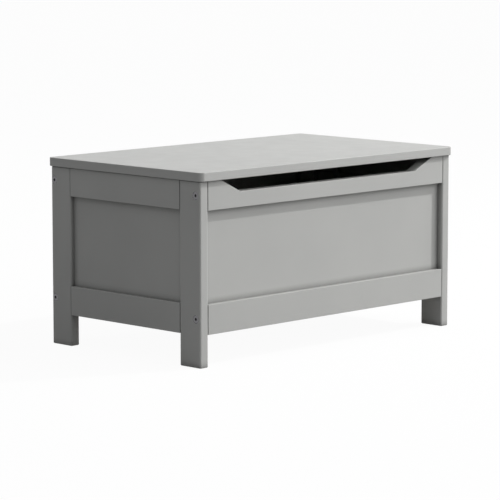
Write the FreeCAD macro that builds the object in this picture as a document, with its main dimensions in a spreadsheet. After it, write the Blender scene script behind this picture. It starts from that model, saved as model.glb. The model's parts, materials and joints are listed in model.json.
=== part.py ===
import FreeCAD, Part
import os
import re
import Sketcher
from FreeCAD import Placement, Rotation, Vector

# Wooden toy box on four legs, with a hinged lid.
# Frame: millimetres, +Z up, -Y towards the front, +X towards the right-hand side.
# The origin is on the floor, under the centre of the box.

DIMENSIONS = {
    # the body, without the lid
    "body_length": 800,
    "body_depth": 466,
    "leg_height": 393.6,
    "leg_width": 62,
    "leg_thickness": 24,
    "leg_edge_round": 4,
    "leg_top_round": 1.5,
    "foot_bevel": 1.5,
    # rails of the frame
    "ground_clearance": 69,
    "top_rail_height": 62,
    "bottom_rail_height": 64,
    "front_rail_thickness": 26.5,
    "back_rail_thickness": 20,
    "side_rail_thickness": 18,
    "rail_setback": 0.2,
    "rail_edge_round": 0.8,
    # hand slot in the top edge of the front rail
    "slot_depth": 28.6,
    "slot_bottom_length": 559,
    "slot_slant": 58.3,
    "slot_corner_round": 10,
    # panels, held in grooves of the legs and rails
    "panel_thickness": 4,
    "panel_tongue": 7,
    "panel_play": 0.1,
    "groove_play": 0.5,
    "front_panel_recess": 13.5,
    "back_panel_recess": 9,
    "side_panel_recess": 10,
    # floor on four cleats
    "floor_height": 24,
    "floor_thickness": 6,
    "floor_play": 0.5,
    "cleat_size": 15,
    "cleat_edge_round": 1,
    "cleat_screw_inset": 60,
    # lid
    "lid_thickness": 19,
    "lid_gap": 0.6,
    "lid_overhang_side": 4,
    "lid_overhang_face": 7,
    "lid_corner_round": 12,
    "lid_edge_round": 1.5,
    "lid_open_angle": 100,
    "bumper_diameter": 10,
    "bumper_sink": 2.4,
    "bumper_play": 0.2,
    # bolts and barrel nuts through the legs into the front and back rails
    "bolt_diameter": 8,
    "bolt_length": 60,
    "bolt_head_diameter": 17,
    "bolt_head_thickness": 2.5,
    "bolt_head_recess": 0.2,
    "bolt_head_bevel": 0.4,
    "bolt_head_play": 0.2,
    "bolt_key": 6,
    "bolt_key_depth": 3.2,
    "bolt_play": 0.5,
    "bolt_tip_room": 3,
    "bolt_drop": 29.4,
    "nut_diameter": 12,
    "nut_length": 14,
    "nut_inset": 34,
    "nut_slot_width": 1.5,
    "nut_slot_depth": 1.5,
    "tip_bevel": 1,
    # dowels
    "dowel_diameter": 8,
    "dowel_spread": 16,
    "rail_dowel_length": 30,
    "rail_dowel_in_leg": 11,
    "side_dowel_length": 40,
    "hole_play": 0.1,
    "hole_end_play": 0.5,
    "seat_play": 0.04,
    # countersunk screws
    "screw_diameter": 3,
    "screw_length": 14,
    "screw_head_height": 1.4,
    "cleat_screw_length": 25,
    "screw_slot_width": 0.8,
    "screw_slot_depth": 0.7,
    # butt hinges
    "hinge_length": 70,
    "hinge_position": 250,
    "hinge_leaf_width": 22,
    "hinge_leaf_thickness": 1.5,
    "knuckle_radius": 3,
    "knuckle_gap": 0.3,
    "pin_diameter": 3,
    "pin_play": 0.1,
    "pin_head_diameter": 5,
    "pin_head_thickness": 0.8,
    "hinge_screw_spread": 24,
    "hinge_screw_reach": 13,
    "hinge_housing_play": 0.3,
    # folding lid stays: a rhombus of hinge axis, two pivots and the knee
    "stay_arm_length": 124,
    "stay_arm_width": 16,
    "stay_plate_thickness": 2,
    "stay_gap": 0.3,
    "stay_rail_play": 1.8,
    "stay_lid_drop": 8.7,
    "rivet_diameter": 5,
    "rivet_play": 0.1,
    "knee_play": 0.8,
    "rivet_head_diameter": 9,
    "rivet_head_thickness": 1.2,
    "rivet_head_bevel": 0.6,
    "case_plate_width": 24,
    "case_plate_height": 60,
    "case_screw_spread": 21,
    "lid_tab_width": 26,
    "lid_tab_drop": 9,
    "lid_tab_round": 8,
    "lid_foot_reach": 22,
    "lid_screw_inset": 7,
    "lid_screw_spread": 8,
    "plate_corner_round": 4,
}

KNUCKLES = 5
OVERCUT = 1

DERIVED = {
    "half_length": "body_length / 2",
    "half_depth": "body_depth / 2",
    "leg_centre_x": "half_length - leg_thickness / 2",
    "leg_centre_y": "half_depth - leg_width / 2",
    "leg_inner_x": "half_length - leg_thickness",
    "leg_inner_y": "half_depth - leg_width",
    # distances from the middle of the box to the rails
    "front_rail_centre": "half_depth - rail_setback - front_rail_thickness / 2",
    "back_rail_centre": "half_depth - rail_setback - back_rail_thickness / 2",
    "side_rail_centre": "half_length - rail_setback - side_rail_thickness / 2",
    "front_inner_face": "front_rail_centre - front_rail_thickness / 2",
    "back_inner_face": "back_rail_centre - back_rail_thickness / 2",
    "side_inner_face": "side_rail_centre - side_rail_thickness / 2",
    # heights
    "top_rail_base": "leg_height - top_rail_height",
    "bottom_rail_base": "ground_clearance",
    "bottom_rail_top": "ground_clearance + bottom_rail_height",
    "top_bolt_height": "leg_height - bolt_drop",
    "bottom_bolt_height": "bottom_rail_top - bolt_drop",
    "lid_underside": "leg_height + lid_gap",
    "cleat_top": "ground_clearance + floor_height",
    "cleat_base": "cleat_top - cleat_size",
    "floor_end": "min(leg_inner_x; side_inner_face) - floor_play",
    # grooves and panels
    "groove_depth": "panel_tongue + groove_play",
    "groove_low": "bottom_rail_top - groove_depth",
    "groove_high": "top_rail_base + groove_depth",
    "panel_height": "top_rail_base - bottom_rail_top + 2 * panel_tongue",
    "front_panel_centre": "half_depth - front_panel_recess - panel_thickness / 2",
    "back_panel_centre": "half_depth - back_panel_recess - panel_thickness / 2",
    "side_panel_centre": "half_length - side_panel_recess - panel_thickness / 2",
    # holes
    "bolt_seat": "bolt_head_recess + bolt_head_thickness",
    "bolt_bore": "bolt_diameter + bolt_play",
    "bolt_bore_depth": "bolt_seat + bolt_length - leg_thickness + bolt_tip_room",
    "dowel_bore": "dowel_diameter + hole_play",
    "rail_dowel_in_rail": "rail_dowel_length - rail_dowel_in_leg",
    "screw_bore": "screw_diameter + hole_play",
    "screw_hole_depth": "screw_length + hole_end_play",
    # hinge axis
    "hinge_axis_offset": "knuckle_radius + knuckle_gap",
    "hinge_axis_y": "half_depth - rail_setback + hinge_axis_offset",
    "hinge_axis_z": "lid_underside - hinge_axis_offset",
    "knuckle_length": f"hinge_length / {KNUCKLES}",
    "hinge_housing_base": "lid_underside - hinge_leaf_thickness - hinge_housing_play",
    # stay pivots, all one arm's length from their neighbours. The raised lower arm
    # leans back past the case pivot by its reach, and stays clear of the back rail.
    "lid_pivot_forward": "sqrt(stay_arm_length ^ 2 - stay_lid_drop ^ 2)",
    "arm_reach": "sin(lid_open_angle - 90) * lid_pivot_forward - cos(lid_open_angle - 90) * stay_lid_drop",
    "case_pivot_y": "back_inner_face - stay_rail_play - stay_arm_width / 2 - arm_reach",
    "case_pivot_z": "hinge_axis_z - sqrt(stay_arm_length ^ 2 - (hinge_axis_y - case_pivot_y) ^ 2)",
    "lid_pivot_y": "hinge_axis_y - lid_pivot_forward",
    "lid_pivot_z": "hinge_axis_z - stay_lid_drop",
    "knee_y": "case_pivot_y + lid_pivot_y - hinge_axis_y",
    "knee_z": "case_pivot_z + lid_pivot_z - hinge_axis_z",
    # layers of the stay, measured inwards from the leg's inner face, clear of the rail
    "rail_stand_out": "max(0; leg_inner_x - side_inner_face)",
    "lower_arm_layer": "rail_stand_out + stay_plate_thickness + stay_gap",
    "upper_arm_layer": "lower_arm_layer + stay_plate_thickness + stay_gap",
}

SIDES = {"left": -1, "right": 1}
FACES = {"front": -1, "back": 1}
LEVELS = ("top", "bottom")
PLANES = {"X": ("YZ_Plane", 1), "Y": ("XZ_Plane", -1), "Z": ("XY_Plane", 1)}
WORD = re.compile(r"[a-z][a-z0-9_]*")

doc = FreeCAD.newDocument("ToyBox")
sizes = doc.addObject("Spreadsheet::Sheet", "Sizes")
for row, (alias, number) in enumerate(DIMENSIONS.items(), start=1):
    sizes.set(f"A{row}", alias)
    sizes.set(f"B{row}", str(number))
    sizes.setAlias(f"B{row}", alias)
doc.recompute()
sub_parts = []


# ---- sizes, sketches and features ----

def formula(size):
    """A size written in plain words, as an expression on the sheet's cells."""
    def expand(match):
        word = match.group()
        if word in DIMENSIONS:
            return f"Sizes.{word}"
        if word in DERIVED:
            return f"({formula(DERIVED[word])})"
        return word
    return WORD.sub(expand, str(size))


def value(size):
    """The size in millimetres, as the sheet gives it."""
    return float(sizes.evalExpression(formula(size)))


def place(item, x=0, y=0, z=0, rotation=None):
    """Give an object a Placement that is bound to the sheet."""
    if rotation is not None:
        item.Placement = Placement(Vector(0, 0, 0), rotation)
    for axis, size in zip("xyz", (x, y, z)):
        item.setExpression(f"Placement.Base.{axis}", formula(size))


def new_body(label, x=0, y=0, z=0, rotation=None):
    """A sub-part's body, at its place in the box."""
    body = doc.addObject("PartDesign::Body", label)
    body.Label = label
    place(body, x, y, z, rotation)
    sub_parts.append(body)
    return body


def new_sketch(body, axis, offset=0):
    """A sketch on the body's own origin plane across the axis, at the offset along it."""
    role, direction = PLANES[axis]
    plane = next(feature for feature in body.Origin.OriginFeatures if feature.Role == role)
    sketch = body.newObject("Sketcher::SketchObject", f"{body.Name}_sketch")
    sketch.AttachmentSupport = [(plane, "")]
    sketch.MapMode = "FlatFace"
    sketch.setExpression("AttachmentOffset.Base.z", formula(f"{direction} * ({offset})"))
    return sketch


def bind(sketch, kind, geometry, size):
    """Add a dimension to the sketch and bind it to the sheet."""
    number = sketch.addConstraint(Sketcher.Constraint(kind, *geometry, value(size)))
    sketch.setExpression(f"Constraints[{number}]", formula(size))


def pin_point(sketch, geometry, point, place_2d):
    """Fix a point of the sketch at a place measured from the sketch's origin."""
    for kind, size in zip(("DistanceX", "DistanceY"), place_2d):
        bind(sketch, kind, (-1, 1, geometry, point), size)


def polygon(sketch, corners):
    """A closed outline with straight sides through the corners."""
    first = sketch.GeometryCount
    count = len(corners)
    points = [Vector(value(across), value(up), 0) for across, up in corners]
    for index, start in enumerate(points):
        sketch.addGeometry(Part.LineSegment(start, points[(index + 1) % count]), False)
    for index in range(count):
        following = first + (index + 1) % count
        sketch.addConstraint(Sketcher.Constraint("Coincident", first + index, 2, following, 1))
    for index, corner in enumerate(corners):
        pin_point(sketch, first + index, 1, corner)


def rectangle(sketch, across, up):
    """A rectangle between two limits each way."""
    polygon(sketch, [(across[0], up[0]), (across[1], up[0]), (across[1], up[1]), (across[0], up[1])])


def circle(sketch, centre, diameter):
    """A circle about the centre."""
    middle = Vector(value(centre[0]), value(centre[1]), 0)
    number = sketch.addGeometry(Part.Circle(middle, Vector(0, 0, 1), value(diameter) / 2), False)
    pin_point(sketch, number, 3, centre)
    bind(sketch, "Diameter", (number,), diameter)


def long_round(sketch, start, end, width):
    """A straight bar's outline with half-round ends about the two centres."""
    centres = [Vector(value(point[0]), value(point[1]), 0) for point in (start, end)]
    along = (centres[1] - centres[0]).normalize()
    aside = Vector(-along.y, along.x, 0) * (value(width) / 2)
    first = sketch.GeometryCount
    outlines = ((centres[0], aside, -along), (centres[1], -aside, along))
    for centre, side, cap in outlines:
        arc = Part.Arc(centre + side, centre + cap * aside.Length, centre - side)
        sketch.addGeometry(arc, False)
    sketch.addGeometry(Part.LineSegment(centres[0] - aside, centres[1] - aside), False)
    sketch.addGeometry(Part.LineSegment(centres[1] + aside, centres[0] + aside), False)
    corners = ((first, 2, first + 2, 1), (first + 2, 2, first + 1, 1),
               (first + 1, 2, first + 3, 1), (first + 3, 2, first, 1))
    for corner in corners:
        sketch.addConstraint(Sketcher.Constraint("Tangent", *corner))
    pin_point(sketch, first, 3, start)
    pin_point(sketch, first + 1, 3, end)
    bind(sketch, "Diameter", (first,), width)


def pad(body, sketch, length):
    """Raise the sketch along the normal of its plane."""
    feature = body.newObject("PartDesign::Pad", f"{body.Name}_pad")
    feature.Profile = sketch
    feature.setExpression("Length", formula(length))
    return feature


def pocket(body, sketch, axis, depth, towards):
    """Cut the sketch to a depth, towards +1 or -1 along the axis."""
    feature = body.newObject("PartDesign::Pocket", f"{body.Name}_pocket")
    feature.Profile = sketch
    feature.setExpression("Length", formula(depth))
    feature.Reversed = towards == PLANES[axis][1]
    return feature


def box_pad(body, x, y, z):
    """A block between two limits each way."""
    sketch = new_sketch(body, "Z", z[0])
    rectangle(sketch, x, y)
    return pad(body, sketch, f"({z[1]}) - ({z[0]})")


def box_cut(body, x, y, z):
    """Cut away a block between two limits each way."""
    sketch = new_sketch(body, "Z", z[1])
    rectangle(sketch, x, y)
    return pocket(body, sketch, "Z", f"({z[1]}) - ({z[0]})", -1)


def bores(body, axis, centres, start, depth, diameter, towards):
    """Drill round holes from a level along the axis. Centres are given in the sketch's plane."""
    sketch = new_sketch(body, axis, start)
    for centre in centres:
        circle(sketch, centre, diameter)
    return pocket(body, sketch, axis, depth, towards)


def edge_names(body, wanted):
    """The names of the edges of the body, as it is so far, that pass a test."""
    doc.recompute()
    edges = body.Tip.Shape.Edges
    return [f"Edge{number}" for number, edge in enumerate(edges, start=1) if wanted(edge)]


def dress(body, kind, wanted, property_name, size):
    """A fillet or chamfer on the edges that pass a test."""
    names = edge_names(body, wanted)
    base = body.Tip
    feature = body.newObject(f"PartDesign::{kind}", f"{body.Name}_{kind.lower()}")
    feature.Base = (base, names)
    feature.setExpression(property_name, formula(size))
    return feature


def fillet(body, wanted, radius):
    """Round the edges that pass a test."""
    return dress(body, "Fillet", wanted, "Radius", radius)


def chamfer(body, wanted, size):
    """Bevel the edges that pass a test."""
    return dress(body, "Chamfer", wanted, "Size", size)


def every_edge(edge):
    """Any edge at all."""
    return True


def runs_along(axis):
    """A test for straight edges along an axis."""
    direction = {"X": Vector(1, 0, 0), "Y": Vector(0, 1, 0), "Z": Vector(0, 0, 1)}[axis]

    def test(edge):
        if not isinstance(edge.Curve, Part.Line):
            return False
        return abs(abs(edge.Curve.Direction * direction) - 1) < 1e-6
    return test


def lies_at(axis, level):
    """A test for edges that lie wholly at a level along an axis."""
    letter = axis.lower()
    height = value(level)

    def test(edge):
        points = edge.discretize(5)
        return all(abs(getattr(point, letter) - height) < 1e-4 for point in points)
    return test


def turned(label, profile, x=0, y=0, z=0, rotation=None):
    """A body of revolution about its own Z axis, from (radius, height) corners."""
    body = new_body(label, x, y, z, rotation)
    sketch = new_sketch(body, "Y")
    polygon(sketch, profile)
    feature = body.newObject("PartDesign::Revolution", f"{label}_turn")
    feature.Profile = sketch
    feature.ReferenceAxis = (sketch, ["V_Axis"])
    feature.Angle = 360
    return body


def copies(label, master, places):
    """A group of separate equal pieces: the master's shape at each (x, y, z, rotation)."""
    sub_parts.remove(master)
    links = []
    for number, (x, y, z, rotation) in enumerate(places, start=1):
        link = doc.addObject("App::Link", f"{label}_{number}")
        link.LinkedObject = master
        place(link, x, y, z, rotation)
        links.append(link)
    group = doc.addObject("Part::Compound", label)
    group.Label = label
    group.Links = links
    sub_parts.append(group)
    return group


def pointing(axis, sign):
    """The rotation that turns a piece's own +Z to point along an axis."""
    direction = {"X": Vector(sign, 0, 0), "Y": Vector(0, sign, 0), "Z": Vector(0, 0, sign)}[axis]
    return Rotation(Vector(0, 0, 1), direction)


# ---- where the joints of the frame are ----

def dowel_heights(level):
    """The heights of the two dowels at a rail's end."""
    return [f"{level}_bolt_height + {sign} * dowel_spread" for sign in (-1, 1)]


def cleat_screw_places(half_span):
    """How far along a cleat its three screws are."""
    return [f"{sign} * (({half_span}) - cleat_screw_inset)" for sign in (-1, 0, 1)]


def case_screw_heights():
    """The heights of the two screws of a stay's bracket on the leg."""
    return [f"case_pivot_z + {sign} * case_screw_spread" for sign in (-1, 1)]


def hinge_screw_places(side):
    """How far along the box the three screws of a hinge's leaf are."""
    return [f"{side} * hinge_position + {sign} * hinge_screw_spread" for sign in (-1, 0, 1)]


# ---- frame ----

def make_leg(face_name, side_name):
    """A flat upright with its wide face to the side, grooved for two panels."""
    face = FACES[face_name]
    side = SIDES[side_name]
    leg = new_body(f"leg_{face_name}_{side_name}", f"{side} * leg_centre_x", f"{face} * leg_centre_y")
    box_pad(leg, ("-leg_thickness / 2", "leg_thickness / 2"), ("-leg_width / 2", "leg_width / 2"),
            ("0", "leg_height"))
    fillet(leg, runs_along("Z"), "leg_edge_round")
    fillet(leg, lies_at("Z", "leg_height"), "leg_top_round")
    chamfer(leg, lies_at("Z", "0"), "foot_bevel")

    outer_face = f"{side} * leg_thickness / 2"
    inner_face = f"{-side} * leg_thickness / 2"
    rail_y = f"{face} * ({face_name}_rail_centre - leg_centre_y)"
    bolts = [(rail_y, f"{level}_bolt_height") for level in LEVELS]
    bores(leg, "X", bolts, outer_face, "bolt_seat", "bolt_head_diameter + bolt_head_play", -side)
    bores(leg, "X", bolts, outer_face, "leg_thickness", "bolt_bore", -side)
    dowels = [(rail_y, height) for level in LEVELS for height in dowel_heights(level)]
    bores(leg, "X", dowels, inner_face, "rail_dowel_in_leg + hole_end_play", "dowel_bore", side)

    inner_edge = f"{-face} * leg_width / 2"
    rail_x = f"{side} * (side_rail_centre - leg_centre_x)"
    dowels = [(rail_x, height) for level in LEVELS for height in dowel_heights(level)]
    bores(leg, "Y", dowels, inner_edge, "side_dowel_length / 2 + hole_end_play", "dowel_bore", face)

    groove_half = "(panel_thickness / 2 + panel_play)"
    panel_y = f"{face} * ({face_name}_panel_centre - leg_centre_y)"
    box_cut(leg, (f"({inner_face}) - {side} * {OVERCUT}", f"({inner_face}) + {side} * groove_depth"),
            (f"{panel_y} - {groove_half}", f"{panel_y} + {groove_half}"), ("groove_low", "groove_high"))
    panel_x = f"{side} * (side_panel_centre - leg_centre_x)"
    box_cut(leg, (f"{panel_x} - {groove_half}", f"{panel_x} + {groove_half}"),
            (f"({inner_edge}) - {face} * {OVERCUT}", f"({inner_edge}) + {face} * groove_depth"),
            ("groove_low", "groove_high"))
    if face_name == "back":
        screws = [("case_pivot_y - leg_centre_y", height) for height in case_screw_heights()]
        bores(leg, "X", screws, inner_face, "screw_hole_depth - stay_plate_thickness", "screw_bore", side)
    else:
        bores(leg, "Z", [("0", "0")], "leg_height", "bumper_sink", "bumper_diameter + hole_play", -1)


def cut_rail_groove(rail, level, across, along):
    """The groove for the panel, in the edge of a rail that faces the other rail."""
    if level == "top":
        heights = (f"-{OVERCUT}", "groove_depth")
    else:
        heights = ("bottom_rail_height - groove_depth", f"bottom_rail_height + {OVERCUT}")
    groove_half = "(panel_thickness / 2 + panel_play)"
    across_limits = (f"({across}) - {groove_half}", f"({across}) + {groove_half}")
    along_limits = (f"-({along}) - {OVERCUT}", f"({along}) + {OVERCUT}")
    if rail.Name.startswith(tuple(FACES)):
        box_cut(rail, along_limits, across_limits, heights)
    else:
        box_cut(rail, across_limits, along_limits, heights)


def cut_hand_slot(rail):
    """A long notch with slanting ends in the top edge, with softened inner corners."""
    floor_level = "top_rail_height - slot_depth"
    brim = f"top_rail_height + {OVERCUT}"
    half = "slot_bottom_length / 2"
    reach = f"slot_slant * (slot_depth + {OVERCUT}) / slot_depth"
    sketch = new_sketch(rail, "Y", f"-front_rail_thickness / 2 - {OVERCUT}")
    polygon(sketch, [(f"-{half}", floor_level), (half, floor_level),
                     (f"{half} + {reach}", brim), (f"-{half} - {reach}", brim)])
    pocket(rail, sketch, "Y", f"front_rail_thickness + 2 * {OVERCUT}", 1)
    across = runs_along("Y")
    at_floor = lies_at("Z", floor_level)
    fillet(rail, lambda edge: across(edge) and at_floor(edge), "slot_corner_round")


def make_long_rail(face_name, level):
    """A rail between the legs of the front or back, bolted through them at its ends."""
    face = FACES[face_name]
    thickness = f"{face_name}_rail_thickness"
    rail = new_body(f"{face_name}_{level}_rail", 0, f"{face} * {face_name}_rail_centre",
                    f"{level}_rail_base")
    box_pad(rail, ("-leg_inner_x", "leg_inner_x"), (f"-{thickness} / 2", f"{thickness} / 2"),
            ("0", f"{level}_rail_height"))
    if (face_name, level) == ("front", "top"):
        cut_hand_slot(rail)
        outlines = [lies_at("Y", f"{sign} * {thickness} / 2") for sign in (-1, 1)]
        outlines += [lies_at("X", f"{sign} * leg_inner_x") for sign in (-1, 1)]
        fillet(rail, lambda edge: any(test(edge) for test in outlines), "rail_edge_round")
    else:
        fillet(rail, every_edge, "rail_edge_round")

    middle = f"{level}_bolt_height - {level}_rail_base"
    dowels = [("0", f"{middle} + {sign} * dowel_spread") for sign in (-1, 1)]
    for side in SIDES.values():
        end = f"{side} * leg_inner_x"
        bores(rail, "X", [("0", middle)], end, "bolt_bore_depth", "bolt_bore", -side)
        bores(rail, "X", dowels, end, "rail_dowel_in_rail + hole_end_play", "dowel_bore", -side)
    nuts = [(f"{side} * (leg_inner_x - nut_inset)", middle) for side in SIDES.values()]
    bores(rail, "Y", nuts, f"{-face} * {thickness} / 2",
          f"({thickness} + nut_length) / 2 + hole_end_play", "nut_diameter + hole_play", face)
    cut_rail_groove(rail, level, f"{face} * ({face_name}_panel_centre - {face_name}_rail_centre)",
                    "leg_inner_x")
    if level == "bottom":
        height = "cleat_base + cleat_size / 2 - bottom_rail_base"
        screws = [(along, height) for along in cleat_screw_places("leg_inner_x")]
        bores(rail, "Y", screws, f"{-face} * {thickness} / 2",
              "cleat_screw_length - cleat_size + hole_end_play", "screw_bore", face)
    if (face_name, level) == ("back", "top"):
        height = "hinge_axis_z - hinge_screw_reach - top_rail_base"
        screws = [(along, height) for side in SIDES.values() for along in hinge_screw_places(side)]
        bores(rail, "Y", screws, f"{thickness} / 2", "screw_hole_depth - hinge_leaf_thickness",
              "screw_bore", -1)
        reach = "(hinge_length / 2 + hinge_housing_play)"
        across = f"{thickness} / 2 + {OVERCUT}"
        for side in SIDES.values():
            middle = f"{side} * hinge_position"
            box_cut(rail, (f"{middle} - {reach}", f"{middle} + {reach}"), (f"-({across})", across),
                    ("hinge_housing_base - top_rail_base", f"top_rail_height + {OVERCUT}"))


def make_side_rail(side_name, level):
    """A rail between the front and back leg of one side, held by dowels."""
    side = SIDES[side_name]
    rail = new_body(f"{side_name}_{level}_rail", f"{side} * side_rail_centre", 0, f"{level}_rail_base")
    box_pad(rail, ("-side_rail_thickness / 2", "side_rail_thickness / 2"),
            ("-leg_inner_y", "leg_inner_y"), ("0", f"{level}_rail_height"))
    fillet(rail, every_edge, "rail_edge_round")
    middle = f"{level}_bolt_height - {level}_rail_base"
    dowels = [("0", f"{middle} + {sign} * dowel_spread") for sign in (-1, 1)]
    for face in FACES.values():
        bores(rail, "Y", dowels, f"{face} * leg_inner_y", "side_dowel_length / 2 + hole_end_play",
              "dowel_bore", -face)
    cut_rail_groove(rail, level, f"{side} * (side_panel_centre - side_rail_centre)", "leg_inner_y")
    if level == "bottom":
        height = "cleat_base + cleat_size / 2 - bottom_rail_base"
        screws = [(along, height) for along in cleat_screw_places("leg_inner_y")]
        bores(rail, "X", screws, f"{-side} * side_rail_thickness / 2",
              "cleat_screw_length - cleat_size + hole_end_play", "screw_bore", side)


def make_panels():
    """Thin boards whose edges sit in the grooves of the legs and rails."""
    base = "bottom_rail_top - panel_tongue"
    half_thickness = "panel_thickness / 2"
    for face_name, face in FACES.items():
        panel = new_body(f"{face_name}_panel", 0, f"{face} * {face_name}_panel_centre", base)
        box_pad(panel, ("-leg_inner_x - panel_tongue", "leg_inner_x + panel_tongue"),
                (f"-{half_thickness}", half_thickness), ("0", "panel_height"))
    for side_name, side in SIDES.items():
        panel = new_body(f"{side_name}_panel", f"{side} * side_panel_centre", 0, base)
        box_pad(panel, (f"-{half_thickness}", half_thickness),
                ("-leg_inner_y - panel_tongue", "leg_inner_y + panel_tongue"), ("0", "panel_height"))


# ---- floor ----

def make_floor():
    """A thin board that lies on four cleats, with its screws."""
    floor_panel = new_body("floor_panel", 0, 0, "cleat_top")
    box_pad(floor_panel, ("-floor_end", "floor_end"),
            ("-front_inner_face + floor_play", "back_inner_face - floor_play"), ("0", "floor_thickness"))

    half = "cleat_size / 2"
    bore_depth = f"cleat_size + 2 * {OVERCUT}"
    screw_places = []
    for face_name, face in FACES.items():
        centre = f"{face} * ({face_name}_inner_face - {half})"
        cleat = new_body(f"{face_name}_cleat", 0, centre, "cleat_base")
        box_pad(cleat, ("-leg_inner_x + floor_play", "leg_inner_x - floor_play"),
                (f"-{half}", half), ("0", "cleat_size"))
        fillet(cleat, runs_along("X"), "cleat_edge_round")
        along = cleat_screw_places("leg_inner_x")
        bores(cleat, "Y", [(position, half) for position in along],
              f"{-face} * ({half} + {OVERCUT})", bore_depth, "screw_bore", face)
        countersink(cleat, "Y", f"{-face} * {half}")
        for position in along:
            screw_places.append((position, f"{face} * ({face_name}_inner_face - cleat_size)",
                                 f"cleat_base + {half}", pointing("Y", -face)))
    for side_name, side in SIDES.items():
        centre = f"{side} * (side_inner_face - {half})"
        cleat = new_body(f"{side_name}_cleat", centre, 0, "cleat_base")
        box_pad(cleat, (f"-{half}", half), ("-leg_inner_y + floor_play", "leg_inner_y - floor_play"),
                ("0", "cleat_size"))
        fillet(cleat, runs_along("Y"), "cleat_edge_round")
        along = cleat_screw_places("leg_inner_y")
        bores(cleat, "X", [(position, half) for position in along],
              f"{-side} * ({half} + {OVERCUT})", bore_depth, "screw_bore", side)
        countersink(cleat, "X", f"{-side} * {half}")
        for position in along:
            screw_places.append((f"{side} * (side_inner_face - cleat_size)", position,
                                 f"cleat_base + {half}", pointing("X", -side)))
    copies("cleat_screws", make_screw("cleat_screw", "cleat_screw_length"), screw_places)


# ---- fasteners ----

def countersink(body, axis, level):
    """Bevel the mouths of the screw holes that open at a level."""
    at_level = lies_at(axis, level)
    radius = value("screw_bore / 2")

    def mouth(edge):
        return isinstance(edge.Curve, Part.Circle) and abs(edge.Curve.Radius - radius) < 1e-4 \
            and at_level(edge)
    chamfer(body, mouth, "screw_head_height")


def make_screw(label, length):
    """A countersunk screw whose head's face is at its origin and whose point is below it."""
    radius = "screw_diameter / 2"
    screw = turned(label, [("0", "0"), (f"{radius} + screw_head_height", "0"),
                           (radius, "-screw_head_height"), (radius, f"-{length} + {radius}"),
                           ("0", f"-{length}")])
    half_width = "screw_slot_width / 2"
    half_length = "screw_diameter / 2"
    for across, up in ((half_length, half_width), (half_width, half_length)):
        box_cut(screw, (f"-{across}", across), (f"-{up}", up), ("-screw_slot_depth", f"{OVERCUT}"))
    return screw


def make_bolt():
    """A flat-headed bolt with a hexagon socket, head outermost at its origin."""
    head = "bolt_head_diameter / 2"
    shank = "bolt_diameter / 2"
    tip = "-bolt_head_thickness - bolt_length"
    bolt = turned("case_bolt", [("0", "0"), (f"{head} - bolt_head_bevel", "0"), (head, "-bolt_head_bevel"),
                                (head, "-bolt_head_thickness"), (shank, "-bolt_head_thickness"),
                                (shank, f"{tip} + tip_bevel"), (f"{shank} - tip_bevel", tip), ("0", tip)])
    sketch = new_sketch(bolt, "Z", "0")
    corner = "bolt_key / 2"
    slope = "bolt_key / sqrt(12)"
    polygon(sketch, [(corner, f"-{slope}"), (corner, slope), ("0", f"2 * {slope}"),
                     (f"-{corner}", slope), (f"-{corner}", f"-{slope}"), ("0", f"-2 * {slope}")])
    pocket(bolt, sketch, "Z", "bolt_key_depth", -1)
    return bolt


def make_barrel_nut():
    """A round nut with a cross hole for the bolt and a slot in its end for a driver."""
    radius = "nut_diameter / 2"
    half = "nut_length / 2"
    nut = turned("barrel_nut", [("0", f"-{half}"), (f"{radius} - tip_bevel", f"-{half}"),
                                (radius, f"-{half} + tip_bevel"), (radius, f"{half} - tip_bevel"),
                                (f"{radius} - tip_bevel", half), ("0", half)])
    bores(nut, "X", [("0", "0")], radius, "nut_diameter", "bolt_diameter + hole_play", -1)
    box_cut(nut, (f"-{radius}", radius), ("-nut_slot_width / 2", "nut_slot_width / 2"),
            (f"{half} - nut_slot_depth", f"{half} + {OVERCUT}"))
    return nut


def make_dowel(label, length):
    """A round wooden pin with bevelled ends, lying from its origin along +Z."""
    radius = "dowel_diameter / 2"
    return turned(label, [("0", "0"), (f"{radius} - tip_bevel", "0"), (radius, "tip_bevel"),
                          (radius, f"{length} - tip_bevel"), (f"{radius} - tip_bevel", length),
                          ("0", length)])


def make_frame_fasteners():
    """Bolts, barrel nuts and dowels, each kind as one group."""
    ends = [(face_name, face, side, level)
            for face_name, face in FACES.items() for side in SIDES.values() for level in LEVELS]
    bolt_places = []
    nut_places = []
    rail_dowel_places = []
    side_dowel_places = []
    for face_name, face, side, level in ends:
        rail_y = f"{face} * {face_name}_rail_centre"
        bolt_places.append((f"{side} * (half_length - bolt_head_recess)", rail_y,
                            f"{level}_bolt_height", pointing("X", side)))
        nut_places.append((f"{side} * (leg_inner_x - nut_inset)", rail_y,
                           f"{level}_bolt_height", pointing("Y", -face)))
        for height in dowel_heights(level):
            rail_dowel_places.append((f"{side} * (leg_inner_x + rail_dowel_in_leg)", rail_y, height,
                                      pointing("X", -side)))
            side_dowel_places.append((f"{side} * side_rail_centre",
                                      f"{face} * (leg_inner_y + side_dowel_length / 2)", height,
                                      pointing("Y", -face)))
    copies("case_bolts", make_bolt(), bolt_places)
    copies("barrel_nuts", make_barrel_nut(), nut_places)
    copies("rail_dowels", make_dowel("rail_dowel", "rail_dowel_length"), rail_dowel_places)
    copies("side_frame_dowels", make_dowel("side_dowel", "side_dowel_length"), side_dowel_places)


# ---- lid and hinges ----

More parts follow.
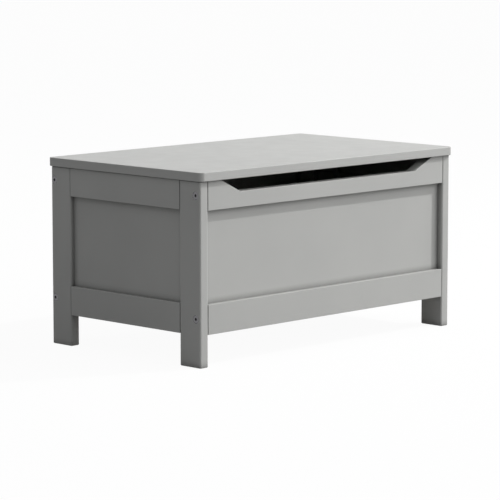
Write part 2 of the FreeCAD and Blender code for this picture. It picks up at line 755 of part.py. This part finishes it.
def make_lid():
    """One thick board with rounded corners and edges, drilled for its hinges and stays."""
    lid = new_body("lid_board", 0, 0, "lid_underside")
    half_x = "half_length + lid_overhang_side"
    half_y = "half_depth + lid_overhang_face"
    box_pad(lid, (f"-({half_x})", half_x), (f"-({half_y})", half_y), ("0", "lid_thickness"))
    fillet(lid, runs_along("Z"), "lid_corner_round")
    brims = [lies_at("Z", "0"), lies_at("Z", "lid_thickness")]
    fillet(lid, lambda edge: any(test(edge) for test in brims), "lid_edge_round")
    screws = [(along, "hinge_axis_y - hinge_screw_reach")
              for side in SIDES.values() for along in hinge_screw_places(side)]
    bores(lid, "Z", screws, "0", "screw_hole_depth - hinge_leaf_thickness", "screw_bore", 1)
    screws = [(across, along) for side in SIDES.values() for across, along in lid_foot_screws(side)]
    bores(lid, "Z", screws, "0", "screw_hole_depth - stay_plate_thickness", "screw_bore", 1)


def lid_foot_screws(side):
    """Where the two screws of a stay's bracket go up into the lid."""
    across = f"{side} * (leg_inner_x - lower_arm_layer - lid_foot_reach + lid_screw_inset)"
    return [(across, f"lid_pivot_y + {sign} * lid_screw_spread") for sign in (-1, 1)]


def make_bumpers():
    """Soft round buttons sunk in the tops of the front legs, where the lid lands."""
    radius = "bumper_diameter / 2"
    height = "bumper_sink + lid_gap - bumper_play"
    for side_name, side in SIDES.items():
        turned(f"{side_name}_lid_bumper",
               [("0", "0"), (radius, "0"), (radius, "bumper_sink"), (f"{radius} - tip_bevel", height),
                ("0", height)],
               f"{side} * leg_centre_x", "-leg_centre_y", "leg_height - bumper_sink")


def make_hinge_leaf(name, owner, side, plate_y, plate_z, own_knuckles, clearing):
    """One leaf of a butt hinge, about the pin's axis at its origin."""
    leaf = new_body(name, f"{side} * hinge_position", "hinge_axis_y", "hinge_axis_z")
    half = "hinge_length / 2"
    box_pad(leaf, (f"-{half}", half), plate_y, plate_z)
    sketch = new_sketch(leaf, "X", f"-{half}")
    circle(sketch, ("0", "0"), "2 * knuckle_radius")
    pad(leaf, sketch, "hinge_length")
    for knuckle in range(KNUCKLES):
        if knuckle not in own_knuckles:
            low = f"-{half} + {knuckle} * knuckle_length - knuckle_gap / 2"
            high = f"-{half} + {knuckle + 1} * knuckle_length + knuckle_gap / 2"
            box_cut(leaf, (low, high), *clearing)
    play = "pin_play" if owner == "lid" else "seat_play"
    bores(leaf, "X", [("0", "0")], f"-{half} - {OVERCUT}", f"hinge_length + 2 * {OVERCUT}",
          f"pin_diameter + {play}", 1)
    return leaf


def make_hinges():
    """Two butt hinges, closed at a right angle between the back rail and the lid."""
    offset = "hinge_axis_offset"
    near = f"{offset} - hinge_leaf_thickness"
    past = f"knuckle_radius + {OVERCUT}"
    case_screws = []
    lid_screws = []
    for side_name, side in SIDES.items():
        screws_x = [f"{sign} * hinge_screw_spread" for sign in (-1, 0, 1)]
        case_leaf = make_hinge_leaf(
            f"{side_name}_hinge_case_leaf", "case", side, (f"-{offset}", f"-({near})"),
            ("-hinge_leaf_width", "0"), range(0, KNUCKLES, 2),
            ((f"-{offset} - {OVERCUT}", past), (f"-{offset}", past)))
        bores(case_leaf, "Y", [(across, "-hinge_screw_reach") for across in screws_x],
              f"-{offset} - {OVERCUT}", f"hinge_leaf_thickness + 2 * {OVERCUT}", "screw_bore", 1)
        countersink(case_leaf, "Y", f"-({near})")
        lid_leaf = make_hinge_leaf(
            f"{side_name}_hinge_lid_leaf", "lid", side, ("-hinge_leaf_width", "0"), (near, offset),
            range(1, KNUCKLES, 2), ((f"-{offset}", past), (f"-({past})", f"{offset} + {OVERCUT}")))
        bores(lid_leaf, "Z", [(across, "-hinge_screw_reach") for across in screws_x],
              f"{near} - {OVERCUT}", f"hinge_leaf_thickness + 2 * {OVERCUT}", "screw_bore", 1)
        countersink(lid_leaf, "Z", near)
        end = "hinge_length / 2"
        shaft = "pin_diameter / 2"
        head = "pin_head_diameter / 2"
        turned(f"{side_name}_hinge_pin",
               [("0", f"-{end} - pin_head_thickness"), (head, f"-{end} - pin_head_thickness"),
                (head, f"-{end}"), (shaft, f"-{end}"), (shaft, end), (head, end),
                (head, f"{end} + pin_head_thickness"), ("0", f"{end} + pin_head_thickness")],
               f"{side} * hinge_position", "hinge_axis_y", "hinge_axis_z", pointing("X", 1))
        for along in hinge_screw_places(side):
            case_screws.append((along, f"hinge_axis_y - ({near})",
                                "hinge_axis_z - hinge_screw_reach", pointing("Y", 1)))
            lid_screws.append((along, "hinge_axis_y - hinge_screw_reach",
                               f"hinge_axis_z + {near}", pointing("Z", -1)))
    copies("hinge_case_screws", make_screw("hinge_case_screw", "screw_length"), case_screws)
    copies("hinge_lid_screws", make_screw("hinge_lid_screw", "screw_length"), lid_screws)


# ---- lid stays ----

def layer(side, depth):
    """The X of a plane of the stay, at a depth inwards from the leg's inner face."""
    return f"{side} * (leg_inner_x - ({depth}))"


def make_arm(name, side, depth, start, end, holes):
    """A flat arm between two pivots, with a hole at each."""
    arm = new_body(name, layer(side, f"{depth} + stay_plate_thickness" if side > 0 else depth))
    sketch = new_sketch(arm, "X")
    long_round(sketch, start, end, "stay_arm_width")
    pad(arm, sketch, "stay_plate_thickness")
    for centre, diameter in zip((start, end), holes):
        bores(arm, "X", [centre], f"-{OVERCUT}", f"stay_plate_thickness + 2 * {OVERCUT}", diameter, 1)


def make_rivet(name, side, centre, outer, inner, heads):
    """A rivet along X between two depths, with a head at the ends that have one."""
    shaft = "rivet_diameter / 2"
    head = "rivet_head_diameter / 2"
    thickness = "rivet_head_thickness"
    length = f"(({inner}) - ({outer}))"
    profile = [("0", f"-{thickness}"), (head, f"-{thickness}"), (head, "0")] if "outer" in heads \
        else [("0", "0")]
    top = f"{length} + {thickness}"
    profile += [(shaft, "0"), (shaft, length), (head, length), (f"{head} - rivet_head_bevel", top),
                ("0", top)]
    turned(name, profile, layer(side, outer), centre[0], centre[1], pointing("X", -side))


def make_case_bracket(side_name, side):
    """An upright plate on the back leg's inner face that carries the lower arm."""
    half_width = "case_plate_width / 2"
    half_height = "case_plate_height / 2"
    bracket = new_body(f"{side_name}_stay_case_bracket",
                       layer(side, "stay_plate_thickness" if side > 0 else "0"),
                       "case_pivot_y", "case_pivot_z")
    box_pad(bracket, ("0", "stay_plate_thickness"), (f"-{half_width}", half_width),
            (f"-{half_height}", half_height))
    fillet(bracket, runs_along("X"), "plate_corner_round")
    through = f"stay_plate_thickness + 2 * {OVERCUT}"
    bores(bracket, "X", [("0", "0")], f"-{OVERCUT}", through, "rivet_diameter + seat_play", 1)
    screws = [("0", f"{sign} * case_screw_spread") for sign in (-1, 1)]
    bores(bracket, "X", screws, f"-{OVERCUT}", through, "screw_bore", 1)
    countersink(bracket, "X", "0" if side > 0 else "stay_plate_thickness")


def make_lid_bracket(side_name, side):
    """An angle under the lid: a tab down to the pivot and a foot screwed to the lid."""
    half_width = "lid_tab_width / 2"
    top = "lid_underside - lid_pivot_z"
    bracket = new_body(f"{side_name}_stay_lid_bracket", layer(side, "lower_arm_layer"),
                       "lid_pivot_y", "lid_pivot_z")
    inward = -side
    box_pad(bracket, ("0", f"{inward} * stay_plate_thickness"), (f"-{half_width}", half_width),
            ("-lid_tab_drop", top))
    at_base = lies_at("Z", "-lid_tab_drop")
    across = runs_along("X")
    fillet(bracket, lambda edge: across(edge) and at_base(edge), "lid_tab_round")
    box_pad(bracket, ("0", f"{inward} * lid_foot_reach"), (f"-{half_width}", half_width),
            (f"{top} - stay_plate_thickness", top))
    bores(bracket, "X", [("0", "0")], f"{-inward} * {OVERCUT}", f"stay_plate_thickness + 2 * {OVERCUT}",
          "rivet_diameter + seat_play", inward)
    screws = [(f"{inward} * (lid_foot_reach - lid_screw_inset)", f"{sign} * lid_screw_spread")
              for sign in (-1, 1)]
    bores(bracket, "Z", screws, f"{top} - stay_plate_thickness - {OVERCUT}",
          f"stay_plate_thickness + 2 * {OVERCUT}", "screw_bore", 1)
    countersink(bracket, "Z", f"{top} - stay_plate_thickness")


def make_stays():
    """Two folding stays. Both arms are as long as the pivots are from the hinge axis."""
    case_pivot = ("case_pivot_y", "case_pivot_z")
    lid_pivot = ("lid_pivot_y", "lid_pivot_z")
    knee = ("knee_y", "knee_z")
    running = "rivet_diameter + rivet_play"
    plate = "stay_plate_thickness"
    case_screws = []
    lid_screws = []
    for side_name, side in SIDES.items():
        make_case_bracket(side_name, side)
        make_lid_bracket(side_name, side)
        make_arm(f"{side_name}_stay_lower_arm", side, "lower_arm_layer", case_pivot, knee,
                 (running, "rivet_diameter + knee_play"))
        make_arm(f"{side_name}_stay_upper_arm", side, "upper_arm_layer", lid_pivot, knee,
                 (running, "rivet_diameter + seat_play"))
        make_rivet(f"{side_name}_stay_case_rivet", side, case_pivot, "0", "upper_arm_layer", ())
        make_rivet(f"{side_name}_stay_lid_rivet", side, lid_pivot, "lower_arm_layer",
                   f"upper_arm_layer + {plate} + stay_gap", ("outer",))
        make_rivet(f"{side_name}_stay_knee_rivet", side, knee, "lower_arm_layer - stay_gap",
                   f"upper_arm_layer + {plate}", ("outer",))
        for height in case_screw_heights():
            case_screws.append((layer(side, plate), "case_pivot_y", height, pointing("X", -side)))
        for across, along in lid_foot_screws(side):
            lid_screws.append((across, along, f"lid_underside - {plate}", pointing("Z", -1)))
    copies("stay_case_screws", make_screw("stay_case_screw", "screw_length"), case_screws)
    copies("stay_lid_screws", make_screw("stay_lid_screw", "screw_length"), lid_screws)


# ---- check and write ----

def check_document():
    """Stop if any feature failed or any cut missed its solid."""
    for item in doc.Objects:
        if {"Invalid", "Error"} & set(item.State):
            raise RuntimeError(f"{item.Label} failed: {item.State}")
        if item.TypeId == "PartDesign::Pocket":
            if item.Shape.Volume >= item.BaseFeature.Shape.Volume:
                raise RuntimeError(f"{item.Label} cuts nothing")
    for item in sub_parts:
        if item.Shape.isNull() or not item.Shape.isValid():
            raise RuntimeError(f"{item.Label} has no valid shape")


def write_parts():
    """Write each sub-part to a file with its own name."""
    os.makedirs("parts", exist_ok=True)
    for item in sub_parts:
        item.Shape.exportStep(os.path.join("parts", f"{item.Label}.step"))
        print(item.Label, len(item.Shape.Solids), round(item.Shape.Volume))
    print(len(sub_parts), "sub-parts")


for face_name in FACES:
    for side_name in SIDES:
        make_leg(face_name, side_name)
for level in LEVELS:
    for face_name in FACES:
        make_long_rail(face_name, level)
    for side_name in SIDES:
        make_side_rail(side_name, level)
make_panels()
make_floor()
make_frame_fasteners()
make_lid()
make_bumpers()
make_hinges()
make_stays()
doc.recompute()
check_document()
write_parts()
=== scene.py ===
import json
import math

import bpy
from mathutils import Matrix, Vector


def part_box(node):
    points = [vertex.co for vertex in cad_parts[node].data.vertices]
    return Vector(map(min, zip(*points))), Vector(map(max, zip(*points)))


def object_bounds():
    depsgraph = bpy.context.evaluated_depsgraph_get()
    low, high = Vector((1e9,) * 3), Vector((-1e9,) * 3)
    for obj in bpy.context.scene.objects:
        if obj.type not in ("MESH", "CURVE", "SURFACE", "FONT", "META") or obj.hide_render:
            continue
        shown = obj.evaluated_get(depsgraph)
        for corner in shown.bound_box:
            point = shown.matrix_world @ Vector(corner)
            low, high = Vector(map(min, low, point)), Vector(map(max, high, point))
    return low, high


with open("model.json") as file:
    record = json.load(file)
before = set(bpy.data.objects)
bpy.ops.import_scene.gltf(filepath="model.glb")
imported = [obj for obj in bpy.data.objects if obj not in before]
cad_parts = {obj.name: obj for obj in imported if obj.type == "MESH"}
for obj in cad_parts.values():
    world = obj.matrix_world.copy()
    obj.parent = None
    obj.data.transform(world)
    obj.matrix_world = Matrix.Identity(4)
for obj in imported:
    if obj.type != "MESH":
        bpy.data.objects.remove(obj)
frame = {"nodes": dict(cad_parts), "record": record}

MM = 0.001
CAD_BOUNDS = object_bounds()
RECORD = frame["record"]

# ---- the view ----
VIEW_AZIMUTH = math.radians(-45.58)   # the camera stands in front, to the left
VIEW_DROP = math.radians(7.68)        # and looks slightly down
VIEW_DISTANCE = 6.0735
VIEW_ASIDE = -0.0097                  # what the camera aims at, from the middle of the box
VIEW_BELOW = -0.0155
LENS = 194.27
SENSOR = 36.0
VIEW_REACH = 200.0                    # past the floor's far edge

# ---- light ----
# A strength of 1 shows a surface that faces the lamp in the colour that is written.
KEY_TOWARDS = (1.75, -1.0, 1.90)      # the direction from the box to the round key lamp,
KEY_DISTANCE = 5.0                    # which is near, so that its light falls off
KEY_STRENGTH = 0.53
KEY_SIZE = 0.14
SOFT_TOWARDS = (0.80, -0.78, 0.22)    # the direction to a wide and distant lamp
SOFT_STRENGTH = 0.72
SOFT_WIDTH = math.radians(90)
SKY_LOW = 0.0                         # the surround's light at the horizon
SKY_HIGH = 0.57                       # and overhead
SKY_COLOUR = (0.97, 0.98, 1.0)
FLOOR_SIZE = 60.0
FLOOR_GREY = 0.33                     # how much light the floor throws back on the box
FLOOR_WHITE = 0.95                    # the floor as it is seen
FLOOR_SEEN = 0.95                     # the part of that white that shadows don't touch

# ---- finishes: colours, sizes of the noise in metres, roughness from and to ----
NOISE_RANGE = (0.3, 0.7)              # nearly all of a noise lies between these values
PAINT = ((0.500, 0.502, 0.487), (0.522, 0.523, 0.506))
PAINT_CLOUDS = 180 * MM
PAINT_SMEARS = 40 * MM
PAINT_PEEL = 1.6 * MM
PAINT_PEEL_HEIGHT = 0.05 * MM
PAINT_ROUGHNESS = (0.44, 0.56)
PAINT_SPECULAR = 0.24
SHADE_REACH = 15 * MM                 # how far from a corner the painted shade reaches
SHADE_DEPTH = 0.85
SHADE_SAMPLES = 8
PINE = ((0.56, 0.39, 0.21), (0.41, 0.25, 0.115))
PINE_GRAIN = 5 * MM
PINE_STRETCH = 0.06                   # the noise's scale along the grain
PINE_FIBRE = 0.8 * MM
PINE_FIBRE_HEIGHT = 0.08 * MM
PINE_ROUGHNESS = 0.62
DARK_STEEL = ((0.150, 0.148, 0.155), (0.175, 0.173, 0.180))
DARK_STEEL_ROUGHNESS = (0.32, 0.5)
ZINC = ((0.44, 0.44, 0.46), (0.50, 0.50, 0.51))
ZINC_ROUGHNESS = (0.30, 0.44)
METAL_CLOUDS = 6 * MM
METAL_MARKS = 1.2 * MM
METAL_BUMPS = 0.5 * MM
METAL_BUMP_HEIGHT = 0.01 * MM
PAD = ((0.62, 0.62, 0.60), (0.70, 0.70, 0.68))
PAD_CLOUDS = 4 * MM
PAD_ROUGHNESS = 0.35
PAD_DEPTH = 2 * MM                    # how deep light goes into the plastic
PAD_CLOUDINESS = 0.3


def make_camera():
    """A camera at the photograph's viewing angle, with no shift."""
    data = bpy.data.cameras.new("camera")
    data.sensor_width = SENSOR
    data.lens = LENS
    data.clip_end = VIEW_REACH
    camera = bpy.data.objects.new("camera", data)
    bpy.context.scene.collection.objects.link(camera)
    forward = Vector((-math.sin(VIEW_AZIMUTH) * math.cos(VIEW_DROP),
                      math.cos(VIEW_AZIMUTH) * math.cos(VIEW_DROP), -math.sin(VIEW_DROP)))
    right = Vector((math.cos(VIEW_AZIMUTH), math.sin(VIEW_AZIMUTH), 0))
    low, high = CAD_BOUNDS
    aim = (Vector(low) + Vector(high)) / 2 + right * VIEW_ASIDE + Vector((0, 0, VIEW_BELOW))
    camera.location = aim - forward * VIEW_DISTANCE
    camera.rotation_euler = forward.to_track_quat("-Z", "Y").to_euler()
    bpy.context.scene.camera = camera


def add_lamp(data, direction):
    """A lamp that shines on the box from a direction."""
    lamp = bpy.data.objects.new(data.name, data)
    bpy.context.scene.collection.objects.link(lamp)
    lamp.rotation_euler = Vector(direction).to_track_quat("Z", "Y").to_euler()
    return lamp


def make_key():
    """The round lamp that casts the shadows."""
    data = bpy.data.lights.new("key", "AREA")
    data.shape = "DISK"
    data.size = KEY_SIZE
    data.energy = KEY_STRENGTH * (math.pi * KEY_DISTANCE) ** 2
    lamp = add_lamp(data, KEY_TOWARDS)
    lamp.location = Vector(KEY_TOWARDS).normalized() * KEY_DISTANCE


def make_soft():
    """The wide lamp that fills the front."""
    data = bpy.data.lights.new("soft", "SUN")
    data.energy = SOFT_STRENGTH * math.pi
    data.angle = SOFT_WIDTH
    add_lamp(data, SOFT_TOWARDS)


def seen_directly(nodes, links):
    """1 for camera, glossy and transmission rays, 0 for the rest."""
    path = nodes.new("ShaderNodeLightPath")
    first = nodes.new("ShaderNodeMath")
    first.operation = "MAXIMUM"
    links.new(path.outputs["Is Camera Ray"], first.inputs[0])
    links.new(path.outputs["Is Glossy Ray"], first.inputs[1])
    second = nodes.new("ShaderNodeMath")
    second.operation = "MAXIMUM"
    links.new(first.outputs[0], second.inputs[0])
    links.new(path.outputs["Is Transmission Ray"], second.inputs[1])
    return second.outputs[0]


def make_world():
    """A surround that lights the box from above and is seen as white."""
    world = bpy.data.worlds.new("world")
    bpy.context.scene.world = world
    world.use_nodes = True
    nodes = world.node_tree.nodes
    links = world.node_tree.links
    nodes.clear()
    lit = nodes.new("ShaderNodeBackground")
    lit.inputs["Color"].default_value = (*SKY_COLOUR, 1)
    source = nodes.new("ShaderNodeTexCoord")
    split = nodes.new("ShaderNodeSeparateXYZ")
    links.new(source.outputs["Generated"], split.inputs[0])
    sky = nodes.new("ShaderNodeMapRange")
    sky.inputs["To Min"].default_value = SKY_LOW
    sky.inputs["To Max"].default_value = SKY_HIGH
    links.new(split.outputs["Z"], sky.inputs["Value"])
    links.new(sky.outputs["Result"], lit.inputs["Strength"])
    shown = nodes.new("ShaderNodeBackground")
    shown.inputs["Strength"].default_value = 1
    shown.inputs["Color"].default_value = (1, 1, 1, 1)
    mix = nodes.new("ShaderNodeMixShader")
    links.new(seen_directly(nodes, links), mix.inputs["Fac"])
    links.new(lit.outputs[0], mix.inputs[1])
    links.new(shown.outputs[0], mix.inputs[2])
    output = nodes.new("ShaderNodeOutputWorld")
    links.new(mix.outputs[0], output.inputs["Surface"])


def new_material(name):
    """An empty node material with its output."""
    material = bpy.data.materials.new(name)
    material.use_nodes = True
    nodes = material.node_tree.nodes
    nodes.clear()
    output = nodes.new("ShaderNodeOutputMaterial")
    return material, nodes, material.node_tree.links, output


def make_floor():
    """A plain white floor that keeps a faint shadow of the box."""
    half = FLOOR_SIZE / 2
    mesh = bpy.data.meshes.new("floor")
    corners = [(-half, -half, 0), (half, -half, 0), (half, half, 0), (-half, half, 0)]
    mesh.from_pydata(corners, [], [(0, 1, 2, 3)])
    floor = bpy.data.objects.new("floor", mesh)
    bpy.context.scene.collection.objects.link(floor)
    material, nodes, links, output = new_material("floor_white")
    grey = nodes.new("ShaderNodeBsdfDiffuse")
    grey.inputs["Color"].default_value = (FLOOR_GREY, FLOOR_GREY, FLOOR_GREY, 1)
    white = nodes.new("ShaderNodeBsdfDiffuse")
    white.inputs["Color"].default_value = (FLOOR_WHITE, FLOOR_WHITE, FLOOR_WHITE, 1)
    glow = nodes.new("ShaderNodeEmission")
    glow.inputs["Color"].default_value = (1, 1, 1, 1)
    shown = nodes.new("ShaderNodeMixShader")
    shown.inputs["Fac"].default_value = FLOOR_SEEN
    links.new(white.outputs[0], shown.inputs[1])
    links.new(glow.outputs[0], shown.inputs[2])
    mix = nodes.new("ShaderNodeMixShader")
    links.new(seen_directly(nodes, links), mix.inputs["Fac"])
    links.new(grey.outputs[0], mix.inputs[1])
    links.new(shown.outputs[0], mix.inputs[2])
    links.new(mix.outputs[0], output.inputs["Surface"])
    mesh.materials.append(material)


def coordinates(nodes, links, scale=(1, 1, 1)):
    """The piece's own coordinates, stretched by a scale each way."""
    source = nodes.new("ShaderNodeTexCoord")
    mapping = nodes.new("ShaderNodeMapping")
    mapping.inputs["Scale"].default_value = scale
    links.new(source.outputs["Object"], mapping.inputs["Vector"])
    return mapping.outputs["Vector"]


def noise(nodes, links, vector, size, detail=2.0):
    """A noise whose features are about a size in metres."""
    texture = nodes.new("ShaderNodeTexNoise")
    texture.inputs["Scale"].default_value = 1 / size
    texture.inputs["Detail"].default_value = detail
    links.new(vector, texture.inputs["Vector"])
    return texture.outputs["Fac"]


def spread(nodes, links, value, low=0.0, high=1.0):
    """A noise value turned into a range."""
    ranged = nodes.new("ShaderNodeMapRange")
    ranged.inputs["From Min"].default_value = NOISE_RANGE[0]
    ranged.inputs["From Max"].default_value = NOISE_RANGE[1]
    ranged.inputs["To Min"].default_value = low
    ranged.inputs["To Max"].default_value = high
    links.new(value, ranged.inputs["Value"])
    return ranged.outputs["Result"]


def blend_colours(nodes, links, factor, first, second):
    """A colour between two."""
    mix = nodes.new("ShaderNodeMix")
    mix.data_type = "RGBA"
    mix.inputs["A"].default_value = (*first, 1)
    mix.inputs["B"].default_value = (*second, 1)
    links.new(factor, mix.inputs["Factor"])
    return mix.outputs["Result"]


def raise_bump(nodes, links, height, distance):
    """A bump of a height in metres."""
    bump = nodes.new("ShaderNodeBump")
    bump.inputs["Distance"].default_value = distance
    bump.inputs["Strength"].default_value = 1
    links.new(height, bump.inputs["Height"])
    return bump.outputs["Normal"]


def painted_corner_shade(nodes, links, colour):
    """A colour with painted shade deep in joints and corners, where less light reaches."""
    corners = nodes.new("ShaderNodeAmbientOcclusion")
    corners.samples = SHADE_SAMPLES
    corners.inputs["Distance"].default_value = SHADE_REACH
    dim = nodes.new("ShaderNodeMapRange")
    dim.inputs["To Min"].default_value = 1 - SHADE_DEPTH
    links.new(corners.outputs["AO"], dim.inputs["Value"])
    shaded = nodes.new("ShaderNodeMix")
    shaded.data_type = "RGBA"
    shaded.blend_type = "MULTIPLY"
    shaded.inputs["Factor"].default_value = 1
    links.new(colour, shaded.inputs["A"])
    links.new(dim.outputs["Result"], shaded.inputs["B"])
    return shaded.outputs["Result"]


def paint_material():
    """Satin grey paint, rolled on smooth board."""
    material, nodes, links, output = new_material("grey_paint")
    shader = nodes.new("ShaderNodeBsdfPrincipled")
    vector = coordinates(nodes, links)
    broad = spread(nodes, links, noise(nodes, links, vector, PAINT_CLOUDS))
    colour = blend_colours(nodes, links, broad, *PAINT)
    # the base colour is darkened by painted shade in corners and joints
    links.new(painted_corner_shade(nodes, links, colour), shader.inputs["Base Color"])
    smears = noise(nodes, links, vector, PAINT_SMEARS, detail=4)
    sheen = spread(nodes, links, smears, *PAINT_ROUGHNESS)
    links.new(sheen, shader.inputs["Roughness"])
    peel = noise(nodes, links, vector, PAINT_PEEL, detail=3)
    links.new(raise_bump(nodes, links, peel, PAINT_PEEL_HEIGHT), shader.inputs["Normal"])
    shader.inputs["Specular IOR Level"].default_value = PAINT_SPECULAR
    links.new(shader.outputs[0], output.inputs["Surface"])
    return material


def pine_material(axis):
    """Plain softwood with its grain along an axis."""
    material, nodes, links, output = new_material(f"pine_along_{axis}")
    shader = nodes.new("ShaderNodeBsdfPrincipled")
    along = [PINE_STRETCH if name == axis else 1 for name in "XYZ"]
    vector = coordinates(nodes, links, along)
    grain = spread(nodes, links, noise(nodes, links, vector, PINE_GRAIN, detail=4))
    links.new(blend_colours(nodes, links, grain, *PINE), shader.inputs["Base Color"])
    shader.inputs["Roughness"].default_value = PINE_ROUGHNESS
    fibre = noise(nodes, links, vector, PINE_FIBRE)
    links.new(raise_bump(nodes, links, fibre, PINE_FIBRE_HEIGHT), shader.inputs["Normal"])
    links.new(shader.outputs[0], output.inputs["Surface"])
    return material


def metal_material(name, colours, roughness):
    """Steel with fine rubbed marks."""
    material, nodes, links, output = new_material(name)
    shader = nodes.new("ShaderNodeBsdfPrincipled")
    vector = coordinates(nodes, links)
    cloud = spread(nodes, links, noise(nodes, links, vector, METAL_CLOUDS, detail=4))
    links.new(blend_colours(nodes, links, cloud, *colours), shader.inputs["Base Color"])
    shader.inputs["Metallic"].default_value = 1.0
    marks = noise(nodes, links, vector, METAL_MARKS, detail=3)
    links.new(spread(nodes, links, marks, *roughness), shader.inputs["Roughness"])
    fine = noise(nodes, links, vector, METAL_BUMPS)
    links.new(raise_bump(nodes, links, fine, METAL_BUMP_HEIGHT), shader.inputs["Normal"])
    links.new(shader.outputs[0], output.inputs["Surface"])
    return material


def pad_material():
    """Soft milky plastic."""
    material, nodes, links, output = new_material("milky_pad")
    shader = nodes.new("ShaderNodeBsdfPrincipled")
    vector = coordinates(nodes, links)
    cloud = spread(nodes, links, noise(nodes, links, vector, PAD_CLOUDS))
    links.new(blend_colours(nodes, links, cloud, *PAD), shader.inputs["Base Color"])
    shader.inputs["Roughness"].default_value = PAD_ROUGHNESS
    shader.inputs["Subsurface Weight"].default_value = PAD_CLOUDINESS
    shader.inputs["Subsurface Radius"].default_value = (PAD_DEPTH, PAD_DEPTH, PAD_DEPTH)
    links.new(shader.outputs[0], output.inputs["Surface"])
    return material


def dress_nodes():
    """Give every CAD node its finish."""
    finishes = {
        "painted_wood": paint_material(),
        "bolt_steel": metal_material("dark_steel", DARK_STEEL, DARK_STEEL_ROUGHNESS),
        "plated_steel": metal_material("zinc_steel", ZINC, ZINC_ROUGHNESS),
        "soft_pad": pad_material(),
    }
    pine = {axis: pine_material(axis) for axis in "XYZ"}
    slots = {part["node"]: part["material_slot"] for part in RECORD["subparts"]}
    for name, node in frame["nodes"].items():
        slot = slots[name]
        if slot == "plain_wood":
            low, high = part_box(name)
            lengths = high - low
            axis = "XYZ"[max(range(3), key=lambda number: lengths[number])]
            finish = pine[axis]
        else:
            finish = finishes[slot]
        node.data.materials.clear()
        node.data.materials.append(finish)


make_camera()
bpy.context.scene.view_settings.view_transform = "Standard"
make_world()
make_key()
make_soft()
make_floor()
dress_nodes()
